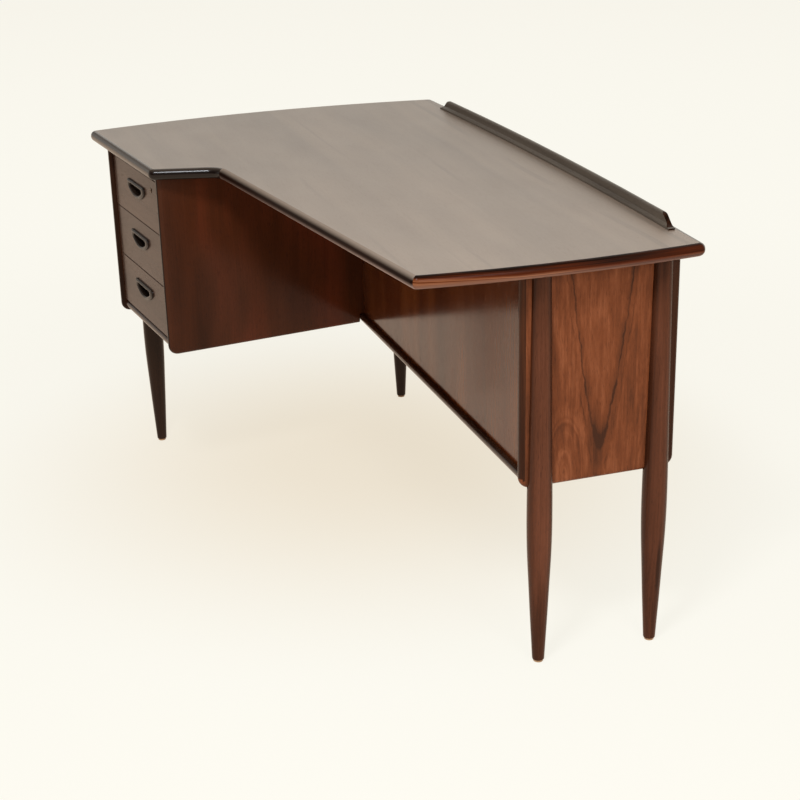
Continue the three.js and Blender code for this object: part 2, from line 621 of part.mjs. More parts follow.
function makeDoor() {
  const face = CASE_BACK - DOOR_INSET;
  const inner = leftInnerX(face - DOOR_THICK);
  const left = inner + DOOR_GAP;
  const right = dividerLeftX(0) - DOOR_GAP;
  const low = CASE_FLOOR_TOP + DOOR_GAP;
  const high = UNDERSIDE - DOOR_GAP;
  const turnRound = (geometry, x, z) => geometry.rotateZ(Math.PI).translate(x, face, z);
  const pullX = right - DOOR_PULL_INSET;
  const pullZ = high - DOOR_PULL_DROP;
  const lockZ = pullZ - DOOR_LOCK_DROP;
  const barrel = (radius, play, z) =>
    new THREE.CylinderGeometry(radius, radius, HINGE_LENGTH + 2 * play, 20)
      .rotateX(Math.PI / 2).translate(left, face, z);
  const hingeHeights = [low + HINGE_FROM_END, high - HINGE_FROM_END];

  const leaf = box(left, right, face - DOOR_THICK, face, low, high);
  const door = carve(
    leaf,
    turnRound(pullPocket(), pullX, pullZ),
    turnRound(lockBody(LOCK_RADIUS + FIT, LOCK_DEPTH + FIT), pullX, lockZ),
    ...hingeHeights.map((z) => barrel(HINGE_RADIUS + FIT, FIT, z)),
  );
  addPiece(desk, 'door', door, panelWood);
  addPiece(desk, 'door_pull', turnRound(pullGeometry(), pullX, pullZ), rimWood);
  addPiece(desk, 'door_lock', turnRound(lockBody(LOCK_RADIUS, LOCK_DEPTH), pullX, lockZ), brass);
  hingeHeights.forEach((z, i) => {
    addPiece(desk, `door_hinge_${i === 0 ? 'low' : 'high'}`, barrel(HINGE_RADIUS, 0, z), brass);
  });
}

// ---------------------------------------------------------------- the desk

makeDesktop();
makeLip();
makeRightEnd();
makeLeftEnd();
makeRearCase();
makeShelves();
makePedestal();
for (let index = 0; index < DRAWER_COUNT; index += 1) {
  makeRunners(index);
  makeDrawer(index);
}
makeDoor();

// The rounded corners leave the box a little short of the top's nominal sizes, so it is centred last.
const middle = new THREE.Box3().setFromObject(desk).getCenter(new THREE.Vector3());
desk.position.set(-middle.x, -middle.y, 0);

export default desk;
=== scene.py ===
import json
import math

import bmesh
import bpy
from mathutils import Matrix, Vector

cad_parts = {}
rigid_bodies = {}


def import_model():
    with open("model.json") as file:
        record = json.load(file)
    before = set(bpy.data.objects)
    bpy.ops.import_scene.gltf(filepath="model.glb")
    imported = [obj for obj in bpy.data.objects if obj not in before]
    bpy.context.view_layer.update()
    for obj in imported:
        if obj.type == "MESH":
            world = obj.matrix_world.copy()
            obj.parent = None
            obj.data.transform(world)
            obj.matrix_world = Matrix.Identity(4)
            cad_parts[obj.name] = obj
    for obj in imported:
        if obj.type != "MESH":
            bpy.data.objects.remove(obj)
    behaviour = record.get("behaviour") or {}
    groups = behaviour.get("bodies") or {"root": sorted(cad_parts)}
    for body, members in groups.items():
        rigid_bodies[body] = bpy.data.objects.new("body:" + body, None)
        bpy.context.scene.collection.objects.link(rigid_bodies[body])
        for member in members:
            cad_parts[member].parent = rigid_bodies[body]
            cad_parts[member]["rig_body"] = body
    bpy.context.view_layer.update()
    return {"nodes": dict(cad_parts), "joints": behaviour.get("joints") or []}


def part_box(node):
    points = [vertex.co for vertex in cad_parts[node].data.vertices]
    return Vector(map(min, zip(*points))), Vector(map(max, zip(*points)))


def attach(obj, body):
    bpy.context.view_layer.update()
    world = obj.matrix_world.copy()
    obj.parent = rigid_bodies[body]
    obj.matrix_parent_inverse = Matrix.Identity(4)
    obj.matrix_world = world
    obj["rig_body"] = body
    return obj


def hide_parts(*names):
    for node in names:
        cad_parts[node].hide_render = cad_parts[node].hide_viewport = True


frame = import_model()

# ---------------------------------------------------------------- sizes, in metres

ARRIS = 0.0006                # rounding of a sawn edge
LINING_ARRIS = 0.0004         # the same on the drawers' sides
SMOOTH_BELOW = math.radians(34)
SHARP_ABOVE = math.radians(50)

# Which look a face has follows from its normal, so these are sines and cosines.
EDGE_TURN = 0.995             # a face that is turned further from its board's own is the board's edge
RETURN_TURN = 0.3             # the top's edge beside the drawers faces right by more than this
LIP_END_TURN = 0.25           # and so does the lip's right end
END_UNDER_TURN = -0.05        # below this, the right end panel's rounded rim is veneered
NOSE_VENEERED = 0.5           # above this, towards either side, so is the inner panel's

RETURN_REACH = 0.07           # how far past the pedestal the top's edge beside the drawers runs

ROUND_SIDES = 72              # of every leg, glide, lock and hinge
LEG_RINGS = 56                # below the case, and again beside it
FOOT_STEPS = 4                # in the rounding of a foot or a glide
GLIDE_ROUNDING = 0.0014

PULL_CORNER = 0.008
PULL_ROUNDING = 0.0018
CUP_WIDTH = 0.080
CUP_HEIGHT = 0.0185
CUP_CORNER = 0.004
CUP_DEPTH = 0.015             # inside the front
CUP_WALL = 0.003
CUP_FLOOR = 0.003
MOUTH_ROUNDING = 0.0012
RIM_CROWN = 0.0012            # how far the rim falls to either side of its crest
RIM_STEPS = 10
BOWL_ROUNDING = 0.005
ROUNDING_STEPS = 5            # in each of the pull's roundings
BOW_STEPS = 40                # in the half-moon's bow
CORNER_STEPS = 10

KEY_RADIUS = 0.0015
KEY_SLOT = 0.0014             # width of the keyhole's slot
KEY_DROP = 0.0036             # from the middle of the lock to the slot's end
LOCK_ROUNDING = 0.0004

KNUCKLES = 3
KNUCKLE_GAP = 0.0005
KNUCKLE_GROOVE = 0.0006

# ---------------------------------------------------------------- directions and places

UP = Vector((0, 0, 1))
RIGHT = Vector((1, 0, 0))
BACK = Vector((0, 1, 0))


def centre(node):
    low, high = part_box(node)
    return (low + high) / 2


def points_of(node):
    return [vertex.co for vertex in frame["nodes"][node].data.vertices]


class Place:
    """Directions of a turned part of the desk: across it to the right, towards its back, and up."""

    def __init__(self, back, origin=Vector((0, 0, 0))):
        self.back = back.normalized()
        self.across = self.back.cross(UP)
        axes = Matrix((self.across, self.back, UP)).transposed()
        self.matrix = Matrix.Translation(origin) @ axes.to_4x4()
        self.inverse = self.matrix.inverted()

    def at(self, origin):
        return Place(self.back, Vector(origin))

    def box(self, node):
        """Lowest and highest corner of a CAD node in these directions."""
        points = [self.inverse @ point for point in points_of(node)]
        low = Vector(min(p[i] for p in points) for i in range(3))
        high = Vector(max(p[i] for p in points) for i in range(3))
        return low, high


joints = {joint["name"]: joint for joint in frame["joints"]}
DESK = Place(BACK)
PEDESTAL = Place(-Vector(joints["drawer_1_slide"]["axis"]))
LEFT_SIDE = Place(centre("glide_back_left") - centre("glide_front_left"))
REAR = Place(-BACK)           # what faces away from the sitter

# ---------------------------------------------------------------- shader nodes


class Shader:
    """The node tree of a material or a world, with a short call for each kind of node."""

    def __init__(self, owner):
        owner.use_nodes = True
        self.tree = owner.node_tree

    def feed(self, socket, value):
        if isinstance(value, bpy.types.NodeSocket):
            self.tree.links.new(value, socket)
        else:
            socket.default_value = value

    def add(self, kind, inputs, **settings):
        made = self.tree.nodes.new("ShaderNode" + kind)
        for name, value in settings.items():
            setattr(made, name, value)
        for name, value in inputs.items():
            self.feed(made.inputs[name], value)
        return made

    def maths(self, operation, *values):
        made = self.add("Math", dict(enumerate(values)), operation=operation)
        return made.outputs[0]

    def plus(self, *values):
        total = values[0]
        for value in values[1:]:
            total = self.maths("ADD", total, value)
        return total

    def times(self, a, b):
        return self.maths("MULTIPLY", a, b)

    def rest(self, share):
        """What a share leaves of 1."""
        return self.maths("SUBTRACT", 1.0, share)

    def scaled(self, vector, factors):
        made = self.add("VectorMath", {0: vector, 1: factors}, operation="MULTIPLY")
        return made.outputs[0]

    def noise(self, vector, detail=2.0, roughness=0.5):
        made = self.add(
            "TexNoise",
            {"Vector": vector, "Scale": 1.0, "Detail": detail, "Roughness": roughness},
        )
        return made.outputs["Fac"]

    def noise_along(self, value, detail=2.0, roughness=0.5):
        made = self.add(
            "TexNoise",
            {"W": value, "Scale": 1.0, "Detail": detail, "Roughness": roughness},
            noise_dimensions="1D",
        )
        return made.outputs["Fac"]

    def swing(self, value, reach):
        """Noise, which lies about 0.5, turned into a shift of up to half of reach either way."""
        return self.times(self.maths("SUBTRACT", value, 0.5), reach)

    def step(self, value, low, high):
        made = self.add(
            "MapRange",
            {"Value": value, "From Min": low, "From Max": high},
            interpolation_type="SMOOTHSTEP",
        )
        return made.outputs["Result"]

    def ramp(self, value, stops):
        made = self.add("ValToRGB", {"Fac": value})
        elements = made.color_ramp.elements
        while len(elements) < len(stops):
            elements.new(0.5)
        for element, (position, colour) in zip(elements, stops):
            element.position = position
            element.color = (*colour, 1.0)
        return made.outputs["Color"]

    def mix(self, share, first, second, blend="MIX"):
        made = self.add("Mix", {"Factor": share}, data_type="RGBA", blend_type=blend)
        for socket, value in zip((made.inputs[6], made.inputs[7]), (first, second)):
            self.feed(socket, value if isinstance(value, bpy.types.NodeSocket) else (*value, 1.0))
        return made.outputs[2]

    def bump(self, height, distance, normal=None):
        inputs = {"Height": height, "Distance": distance}
        if normal is not None:
            inputs["Normal"] = normal
        return self.add("Bump", inputs).outputs["Normal"]

    def grain(self):
        """Where a point lies in its own board: along the grain, across it, and out of the face."""
        vector = self.add("Attribute", {}, attribute_name="grain").outputs["Vector"]
        parts = self.add("SeparateXYZ", {0: vector})
        return vector, parts.outputs[0], parts.outputs[1], parts.outputs[2]

    def stroke(self, distance, half_width):
        """1 on a line and 0 past half_width from it."""
        return self.rest(self.step(self.maths("ABSOLUTE", distance), 0.0, half_width))


class Surface(Shader):
    """A material whose node tree starts as one Principled BSDF."""

    def __init__(self, name):
        self.material = bpy.data.materials.new(name)
        super().__init__(self.material)
        self.surface = self.tree.nodes["Principled BSDF"]

    def dressed(self, colour, roughness, normal):
        """The material, once its surface has its colour, roughness and bump."""
        self.feed(self.surface.inputs["Base Color"], colour)
        self.feed(self.surface.inputs["Roughness"], roughness)
        self.feed(self.surface.inputs["Normal"], normal)
        return self.material


# ---------------------------------------------------------------- materials: wood

VEIN = (0.010, 0.0045, 0.003)
RING_TILT = 0.5               # how far the growth rings lean, seen on the board's end
RING_DRIFT = 0.012            # and along the board


def rosewood(name, dark, middle, light, coarse=40.0, bands=0.5, streaks=0.25, patches=0.4, veins=0.6,
             sway=0.05, open_pores=0.45, gloss=0.2, ior=1.38, level=0.5, relief=1.0, figure=None):
    """Lacquered rosewood: wavy growth rings, fine streaks, patches of other hue and short open pores."""
    shader = Surface(name)
    vector, along, across, out = shader.grain()
    slow = shader.noise(shader.scaled(vector, (1.6, 5.0, 5.0)), detail=1.5)
    quick = shader.noise(shader.scaled(vector, (9.0, 30.0, 30.0)), detail=2.0)
    bent = shader.plus(across, shader.swing(slow, sway), shader.swing(quick, 0.004))
    ring = shader.plus(bent, shader.times(out, RING_TILT), shader.times(along, RING_DRIFT))
    band = shader.noise_along(shader.times(ring, coarse), detail=3.0, roughness=0.55)
    line = shader.noise_along(shader.times(ring, 3 * coarse), detail=1.0)
    fibre = shader.add("CombineXYZ", {0: along, 1: bent, 2: out}).outputs[0]
    streak = shader.noise(shader.scaled(fibre, (6.0, 260.0, 260.0)), detail=3.0, roughness=0.6)
    patch = shader.noise(shader.scaled(fibre, (2.4, 9.0, 9.0)), detail=2.0)
    specks = shader.noise(shader.scaled(fibre, (70.0, 1400.0, 1400.0)), detail=1.0)
    pores = shader.step(specks, 0.60, 0.70)

    tone = shader.plus(
        0.5, shader.swing(band, bands), shader.swing(streak, streaks), shader.swing(patch, patches))
    if figure:
        tone = figure(shader, along, across, tone)
    body = shader.ramp(tone, [(0.30, dark), (0.50, middle), (0.72, light)])
    here = shader.times(shader.step(line, 0.60, 0.72), shader.step(patch, 0.45, 0.62))
    veined = shader.mix(shader.times(here, veins), body, VEIN)
    pored = shader.mix(shader.times(pores, open_pores), veined, VEIN)

    wear = shader.noise(shader.scaled(vector, (9.0, 14.0, 14.0)), detail=3.0)
    rough = shader.plus(gloss, shader.swing(wear, 0.08), shader.times(pores, 0.06))
    film = shader.noise(shader.scaled(vector, (5.0, 9.0, 9.0)), detail=1.0)
    settled = shader.bump(film, 0.0002 * relief)
    fine = shader.plus(shader.times(streak, -0.35), shader.times(pores, -1.0))
    shader.surface.inputs["IOR"].default_value = ior
    shader.surface.inputs["Specular IOR Level"].default_value = level
    return shader.dressed(pored, rough, shader.bump(fine, 0.00003 * relief, settled))


# The lipping's heights are measured from the middle of the board's thickness. A pair of places says where
# a soft change starts and where it is complete.
LIPPING_SEAM = -0.0046
LIPPING_SEAM_SIDES = (0.0002, 0.0010)
LIPPING_LOW = (0.0025, -0.003)        # the strip gets lighter downwards
# Painted shade: a darker line along the top of the rounding, under the desktop's face.
LIPPING_LINE = (0.006, 0.010)         # a darker line under the desktop's face
# Painted highlights on the upper and lower rims stand in for reflections on the rounding; these place them.
LIPPING_UPPER_RIM = (0.0035, 0.0125)
LIPPING_LOWER_RIM = (0.001, -0.010)
LIPPING_LOWER_SHEEN_ALONG = (-0.7, 0.6)    # along the desktop, from its middle
LIPPING_DULLED = (0.12, 0.36)         # towards its back
LIPPING_LEVEL = 0.06                  # in front of here, from the desktop's middle, the seam climbs
LIPPING_SLANT = 0.042                 # and by how much for each metre
# Colours of the painted highlights on the upper and the lower rim.
LIPPING_UPPER_SHEEN = (0.30, 0.24, 0.19)
LIPPING_LOWER_SHEEN = (0.48, 0.34, 0.29)
LIPPING_IOR = 1.45


def lipping(name, dark, middle, light, lower, wear_and_sheen, lower_sheen, gloss, level):
    """The solid strip round the desktop, whose grain follows the edge: dark above a seam, lighter below.
    Along the top of its rounding runs a line of painted shade. Its upper rim carries a painted highlight,
    and so does its lower rim, most of all towards its right end."""
    shader = Surface(name)
    vector, along, across, out = shader.grain()
    waver = shader.swing(shader.noise(shader.scaled(vector, (5.0, 5.0, 30.0))), 0.003)
    in_front = shader.maths("MINIMUM", shader.plus(across, -LIPPING_LEVEL), 0.0)
    height = shader.plus(out, shader.times(in_front, LIPPING_SLANT), waver)
    fibre = shader.add("CombineXYZ", {0: along, 1: across, 2: height}).outputs[0]
    streak = shader.noise(shader.scaled(fibre, (5.0, 5.0, 420.0)), detail=3.0, roughness=0.6)
    patch = shader.noise(shader.scaled(fibre, (3.0, 3.0, 20.0)), detail=2.0)

    low = shader.step(height, *LIPPING_LOW)
    dulled = shader.plus(1.0, shader.times(shader.step(across, *LIPPING_DULLED), -0.5))
    from_seam = shader.maths("ABSOLUTE", shader.plus(height, -LIPPING_SEAM))
    seam = shader.rest(shader.step(from_seam, *LIPPING_SEAM_SIDES))
    # The tone's last term is painted shade along the top of the rounding.
    tone = shader.plus(
        0.30, shader.times(shader.times(low, lower), dulled), shader.swing(streak, 0.45),
        shader.swing(patch, 0.4), shader.times(seam, -0.16),
        shader.times(shader.step(out, *LIPPING_LINE), -0.08))
    strip = shader.ramp(tone, [(0.22, VEIN), (0.42, dark), (0.58, middle), (0.74, light)])

    # Painted highlights on both rims; the lower one grows towards the right end.
    upper_rim = shader.step(out, *LIPPING_UPPER_RIM)
    lower_rim = shader.times(
        shader.step(out, *LIPPING_LOWER_RIM), shader.step(along, *LIPPING_LOWER_SHEEN_ALONG))
    paled = shader.mix(shader.times(upper_rim, wear_and_sheen), strip, LIPPING_UPPER_SHEEN)
    body = shader.mix(shader.times(lower_rim, lower_sheen), paled, LIPPING_LOWER_SHEEN)
    shader.surface.inputs["IOR"].default_value = LIPPING_IOR
    shader.surface.inputs["Specular IOR Level"].default_value = level
    return shader.dressed(body, shader.plus(gloss, shader.swing(patch, 0.08)), shader.bump(streak, 0.00002))


def beech(name):
    """Matt beech of the drawer boxes: even pale wood with short darker flecks."""
    shader = Surface(name)
    vector, along, across, out = shader.grain()
    slow = shader.noise(shader.scaled(vector, (2.0, 9.0, 9.0)), detail=2.0)
    bent = shader.plus(across, shader.swing(slow, 0.02))
    fibre = shader.add("CombineXYZ", {0: along, 1: bent, 2: out}).outputs[0]
    ring = shader.plus(bent, shader.times(out, RING_TILT))
    rings = shader.noise_along(shader.times(ring, 140.0), detail=3.0)
    streaks = shader.noise(shader.scaled(fibre, (9.0, 420.0, 420.0)), detail=3.0)
    specks = shader.noise(shader.scaled(fibre, (260.0, 1600.0, 1600.0)), detail=1.0)
    flecks = shader.step(specks, 0.60, 0.68)
    tone = shader.plus(shader.times(rings, 0.5), shader.times(streaks, 0.5))
    body = shader.ramp(
        tone, [(0.30, (0.40, 0.235, 0.115)), (0.52, (0.52, 0.325, 0.170)), (0.72, (0.61, 0.41, 0.235))])
    flecked = shader.mix(shader.times(flecks, 0.4), body, (0.26, 0.14, 0.065))
    rough = shader.plus(0.50, shader.swing(streaks, 0.15))
    return shader.dressed(flecked, rough, shader.bump(streaks, 0.00008))


# ---------------------------------------------------------------- materials: the wood's figures

# The end panel's V, echo and arches are placed from the panel's middle, and so is its dark rear edge.
V_TIP = -0.122                # height of the V's foot
V_MIDDLE = 0.001              # its axis there
V_LEAN = 0.004                # and how the axis leans
V_SLOPE = 0.118               # half the V's width for each metre of its height, well above its foot
V_ROUNDING = 0.025
V_LINE = 0.0021               # half widths of its line, of the line's haze and of the echo
V_HAZE = 0.012
V_ECHO_LINE = 0.0016
V_ECHO = 0.0075               # how far outside the V a second, fainter line runs
V_FOOT = 0.07                 # height of the foot, where the haze is darker
V_INSIDE = (0.004, -0.012)    # from the line inwards, where the wood is a little lighter
BULL_MIDDLE = (-0.062, -0.165)   # of the rounded figure low on the panel: across and along
BULL_STRETCH = 0.35
BULL_EDGE = (0.030, 0.052)
DARK_REAR_EDGE = (0.1215, 0.1255)   # where the dark rear edge starts


def flame(shader, along, across, tone):
    """The end panel's figure: a dark V with a round foot, its fainter echo, and arches low at its front."""
    place = shader.add("CombineXYZ", {0: along, 1: across}).outputs[0]
    wobble = shader.swing(shader.noise(shader.scaled(place, (14.0, 22.0, 1.0)), detail=2.0), 0.012)
    ripple = shader.swing(shader.noise(shader.scaled(place, (80.0, 70.0, 1.0)), detail=3.0), 0.006)
    cloud = shader.noise(shader.scaled(place, (13.0, 60.0, 1.0)), detail=4.0, roughness=0.6)
    fade = shader.step(shader.noise(shader.scaled(place, (22.0, 12.0, 1.0)), detail=2.0), 0.36, 0.62)

    aside = shader.plus(across, -V_MIDDLE, shader.times(along, -V_LEAN), wobble, ripple)
    limb = shader.maths("SQRT", shader.plus(shader.times(aside, aside), V_ROUNDING ** 2))
    above = shader.plus(along, -V_TIP)
    ring = shader.plus(limb, -V_ROUNDING, shader.times(above, -V_SLOPE))
    line = shader.times(shader.stroke(ring, V_LINE), shader.plus(0.5, shader.times(fade, 0.5)))
    echo = shader.times(shader.stroke(shader.plus(ring, -V_ECHO), V_ECHO_LINE), shader.rest(fade))
    haze = shader.stroke(ring, V_HAZE)
    foot = shader.rest(shader.step(above, 0.0, V_FOOT))
    inside = shader.step(ring, *V_INSIDE)
    nested = shader.noise_along(shader.times(ring, 130.0), detail=2.0)

    bull_aside = shader.plus(across, -BULL_MIDDLE[0], shader.times(wobble, 0.8))
    bull_above = shader.times(shader.plus(along, -BULL_MIDDLE[1]), BULL_STRETCH)
    bull = shader.maths(
        "SQRT", shader.plus(shader.times(bull_aside, bull_aside), shader.times(bull_above, bull_above)))
    arches = shader.noise_along(shader.times(bull, 120.0), detail=2.0)
    near = shader.rest(shader.step(bull, *BULL_EDGE))
    return shader.plus(
        tone, shader.swing(nested, 0.18), shader.swing(cloud, 0.38),
        shader.times(shader.step(across, *DARK_REAR_EDGE), -0.28),
        shader.times(shader.swing(arches, 0.46), near), shader.times(inside, 0.03),
        shader.times(haze, shader.plus(-0.05, shader.times(foot, -0.10))),
        shader.times(line, -0.17), shader.times(echo, -0.10))


# The legs' figures and their painted highlight are placed from the middle of the leg: across it towards the
# back, and up along it.
# Painted highlight down the middle of the outer face, with painted shade past its edge:
HIGHLIGHT_MIDDLE = -0.002
HIGHLIGHT_EDGE = (0.008, 0.019)
LEG_FOOT = (-0.04, -0.34)
LEG_HEAD = (0.20, 0.345)
STREAK_MIDDLE = (-0.202, 0.0035)   # of the dark streak in one leg: along and across
STREAK_REACH = (0.065, 0.006)


def turned(shader, along, across, tone):
    """The legs' look: a painted highlight down the middle of the outer face, painted shade to either side,
    darker towards the head and the foot.
    """
    aside = shader.maths("ABSOLUTE", shader.plus(across, -HIGHLIGHT_MIDDLE))
    return shader.plus(
        tone, 0.04, shader.times(shader.step(aside, *HIGHLIGHT_EDGE), -0.20),
        shader.times(shader.step(along, *LEG_FOOT), -0.15),
        shader.times(shader.step(along, *LEG_HEAD), -0.14))


def streaked(shader, along, across, tone):
    """A turned leg with one short dark streak low on its outer face."""
    lengthwise = shader.stroke(shader.plus(along, -STREAK_MIDDLE[0]), STREAK_REACH[0])
    crosswise = shader.stroke(shader.plus(across, -STREAK_MIDDLE[1]), STREAK_REACH[1])
    streak = shader.times(lengthwise, crosswise)
    return shader.plus(turned(shader, along, across, tone), shader.times(streak, -0.4))


# ---------------------------------------------------------------- materials: plastic and brass


def glide_plastic(name):
    """Tan moulded plastic, scuffed from sliding on floors."""
    shader = Surface(name)
    place = shader.add("TexCoord", {}).outputs["Object"]
    cloud = shader.noise(shader.scaled(place, (90.0, 90.0, 90.0)), detail=3.0)
    scuffs = shader.noise(shader.scaled(place, (900.0, 260.0, 400.0)), detail=2.0)
    body = shader.ramp(cloud, [(0.3, (0.42, 0.24, 0.12)), (0.7, (0.60, 0.38, 0.21))])
    wear_and_sheen = shader.mix(shader.times(shader.step(scuffs, 0.55, 0.7), 0.5), body, (0.30, 0.19, 0.11))
    rough = shader.plus(0.45, shader.swing(scuffs, 0.3))
    return shader.dressed(wear_and_sheen, rough, shader.bump(scuffs, 0.0001))


def aged_brass(name):
    """Brass that has browned unevenly, with the fine marks of a lathe."""
    shader = Surface(name)
    place = shader.add("TexCoord", {}).outputs["Object"]
    cloud = shader.noise(shader.scaled(place, (160.0, 160.0, 160.0)), detail=4.0)
    marks = shader.noise(shader.scaled(place, (200.0, 200.0, 3000.0)), detail=2.0)
    body = shader.ramp(
        cloud, [(0.35, (0.06, 0.034, 0.018)), (0.5, (0.12, 0.072, 0.034)), (0.7, (0.30, 0.19, 0.085))])
    rough = shader.plus(0.33, shader.swing(cloud, 0.25))
    shader.surface.inputs["Metallic"].default_value = 1.0
    return shader.dressed(body, rough, shader.bump(marks, 0.00004))


# ---------------------------------------------------------------- materials in use

TOP_WOOD = rosewood(
    "rosewood top", (0.138, 0.096, 0.066), (0.211, 0.152, 0.108), (0.283, 0.205, 0.147), coarse=14.0,
    bands=0.3, streaks=0.05, patches=0.34, veins=0.2, open_pores=0.12, ior=1.85, gloss=0.42, level=0.95,
    relief=0.2)
# The next four are one strip of wood in lit and shaded copies, chosen by which way a face turns. This one,
# along the front over the knees, is darkened with painted shade and has painted highlights on its rims.
FRONT_LIPPING = lipping(
    "rosewood lipping front", (0.012, 0.004, 0.002), (0.026, 0.010, 0.006), (0.060, 0.030, 0.022),
    lower=0.1, wear_and_sheen=1.0, lower_sheen=1.0, gloss=0.3, level=0.02)
LIPPING = lipping(
    "rosewood lipping", (0.020, 0.012, 0.008), (0.042, 0.028, 0.020), (0.078, 0.052, 0.038),
    lower=0.2, wear_and_sheen=0.2, lower_sheen=0.0, gloss=0.22, level=0.5)
# Painted shade: a darker copy for the return beside the drawers.
RETURN_LIPPING = lipping(
    "rosewood lipping return", (0.004, 0.002, 0.001), (0.009, 0.004, 0.003), (0.020, 0.010, 0.008),
    lower=0.2, wear_and_sheen=0.2, lower_sheen=0.0, gloss=0.22, level=0.4)
# Painted light: a lighter, warmer copy for the right end.
END_LIPPING = lipping(
    "rosewood lipping end", (0.090, 0.016, 0.003), (0.215, 0.075, 0.030), (0.430, 0.163, 0.072),
    lower=0.27, wear_and_sheen=0.0, lower_sheen=0.3, gloss=0.2, level=0.06)
EDGE_WOOD = rosewood(
    "rosewood edge", (0.015, 0.005, 0.002), (0.044, 0.014, 0.006), (0.092, 0.030, 0.012), coarse=90.0,
    bands=0.7, sway=0.004, gloss=0.25, ior=1.35, level=0.2, relief=0.5)
# A darker copy of the edge wood: painted shade on the edges of the left end panel and the inner panel,
# which get less light, and the colour of the back lip's right end.
DARK_AND_SHADED_EDGE_WOOD = rosewood(
    "rosewood edge dark and shaded", (0.006, 0.002, 0.001), (0.016, 0.006, 0.003), (0.036, 0.013, 0.006),
    coarse=90.0, bands=0.7, sway=0.004, gloss=0.16, ior=1.35, level=0.12, relief=0.5)
BOARD_EDGE_WOOD = rosewood(
    "rosewood board edge", (0.012, 0.005, 0.002), (0.034, 0.012, 0.006), (0.070, 0.026, 0.013),
    coarse=90.0, sway=0.004, gloss=0.22, level=0.8, relief=0.5)
PANEL_WOOD = rosewood(
    "rosewood panel", (0.024, 0.006, 0.002), (0.062, 0.016, 0.005), (0.120, 0.032, 0.011), gloss=0.14,
    coarse=16.0, bands=0.35, streaks=0.2, patches=0.5, level=0.25)
INNER_WOOD = rosewood(
    "rosewood inner panel", (0.024, 0.007, 0.002), (0.070, 0.018, 0.006), (0.150, 0.030, 0.011), gloss=0.16,
    coarse=9.0, bands=0.25, streaks=0.1, patches=0.7, veins=0.1, level=0.25)
KNEE_WOOD = rosewood(
    "rosewood knee panel", (0.034, 0.006, 0.001), (0.098, 0.022, 0.004), (0.190, 0.055, 0.013),
    coarse=10.0, bands=0.5, streaks=0.15, veins=0.2, gloss=0.15, ior=1.36, level=0.56)
END_WOOD = rosewood(
    "rosewood end", (0.060, 0.021, 0.010), (0.190, 0.054, 0.019), (0.360, 0.120, 0.050), coarse=22.0,
    bands=0.15, streaks=0.24, patches=0.25, sway=0.01, veins=0.1, gloss=0.2, level=0.2, figure=flame)


def leg_wood(name, figure):
    return rosewood(
        name, (0.040, 0.012, 0.005), (0.098, 0.031, 0.014), (0.178, 0.059, 0.029), sway=0.008, coarse=50.0,
        bands=0.35, patches=0.6, veins=0.35, gloss=0.22, level=0.22, figure=figure)


LEG_WOOD = leg_wood("rosewood leg", turned)
STREAKED_LEG_WOOD = leg_wood("rosewood leg streaked", streaked)
# Painted shade: a darker copy of the leg wood for the two left legs, which stand further from the lamps.
SHADED_LEG_WOOD = rosewood(
    "rosewood leg shaded", (0.012, 0.005, 0.003), (0.028, 0.012, 0.006), (0.052, 0.022, 0.011), sway=0.008,
    coarse=50.0, gloss=0.14, level=0.25)
FRONT_WOOD = rosewood(
    "rosewood front", (0.040, 0.022, 0.016), (0.083, 0.047, 0.034), (0.124, 0.074, 0.053), coarse=20.0,
    bands=0.3, streaks=0.12, veins=0.0, ior=1.3, level=0.25)
LIP_WOOD = rosewood(
    "rosewood lip", (0.060, 0.048, 0.036), (0.102, 0.083, 0.063), (0.155, 0.126, 0.097), sway=0.01,
    bands=0.4, streaks=0.15, gloss=0.3, level=0.4)
PULL_WOOD = rosewood(
    "rosewood pull", (0.008, 0.006, 0.005), (0.018, 0.012, 0.009), (0.034, 0.022, 0.016), sway=0.01,
    gloss=0.24, level=0.35)
LINING = beech("beech lining")
GLIDE = glide_plastic("glide plastic")
BRASS = aged_brass("aged brass")

# ---------------------------------------------------------------- making pieces

BOARD_SHIFT = Vector((0.73, 1.31, 0.57))   # from one board's place in the wood to the next one's
BILLET_SHIFT = 0.57                        # the same for the legs, out of the face alone
NO_SHIFT = Vector((0, 0, 0))
MERGED = 1e-5
FLAT = math.radians(0.3)

seeds = iter(range(1, 1000))


def lay_grain(mesh, along, across, middle, shift):
    """Gives each point its place in the board, with a shift so that no two boards match."""
    out = along.cross(across)
    grain = mesh.attributes.new("grain", "FLOAT_VECTOR", "POINT")
    for vertex, value in zip(mesh.vertices, grain.data):
        co = vertex.co - middle
        value.vector = shift + Vector((co.dot(along), co.dot(across), co.dot(out)))


def add_piece(bm, node, wood, slot, along=None, across=None, place=DESK, shift=None, edge=None):
    """Puts a finished shape, drawn in place's own directions, in the scene in a CAD node's stead."""
    bmesh.ops.recalc_face_normals(bm, faces=bm.faces)
    mesh = bpy.data.meshes.new("fine_" + node)
    bm.to_mesh(mesh)
    bm.free()
    mesh.transform(place.matrix)
    mesh.shade_smooth()
    mesh.set_sharp_from_angle(angle=SMOOTH_BELOW)
    mesh.materials.append(wood)
    if along is not None:
        lay_grain(mesh, along, across, centre(node), BOARD_SHIFT * next(seeds) if shift is None else shift)
    if edge is not None:
        face = along.cross(across)
        mesh.materials.append(edge)
        for polygon in mesh.polygons:
            polygon.material_index = int(abs(polygon.normal.dot(face)) < EDGE_TURN)
    piece = bpy.data.objects.new("fine_" + node, mesh)
    bpy.context.scene.collection.objects.link(piece)
    flats = piece.modifiers.new("keep flats flat", "WEIGHTED_NORMAL")
    flats.keep_sharp = True
    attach(piece, frame["nodes"][node]["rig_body"])
    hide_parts(node)
    return piece


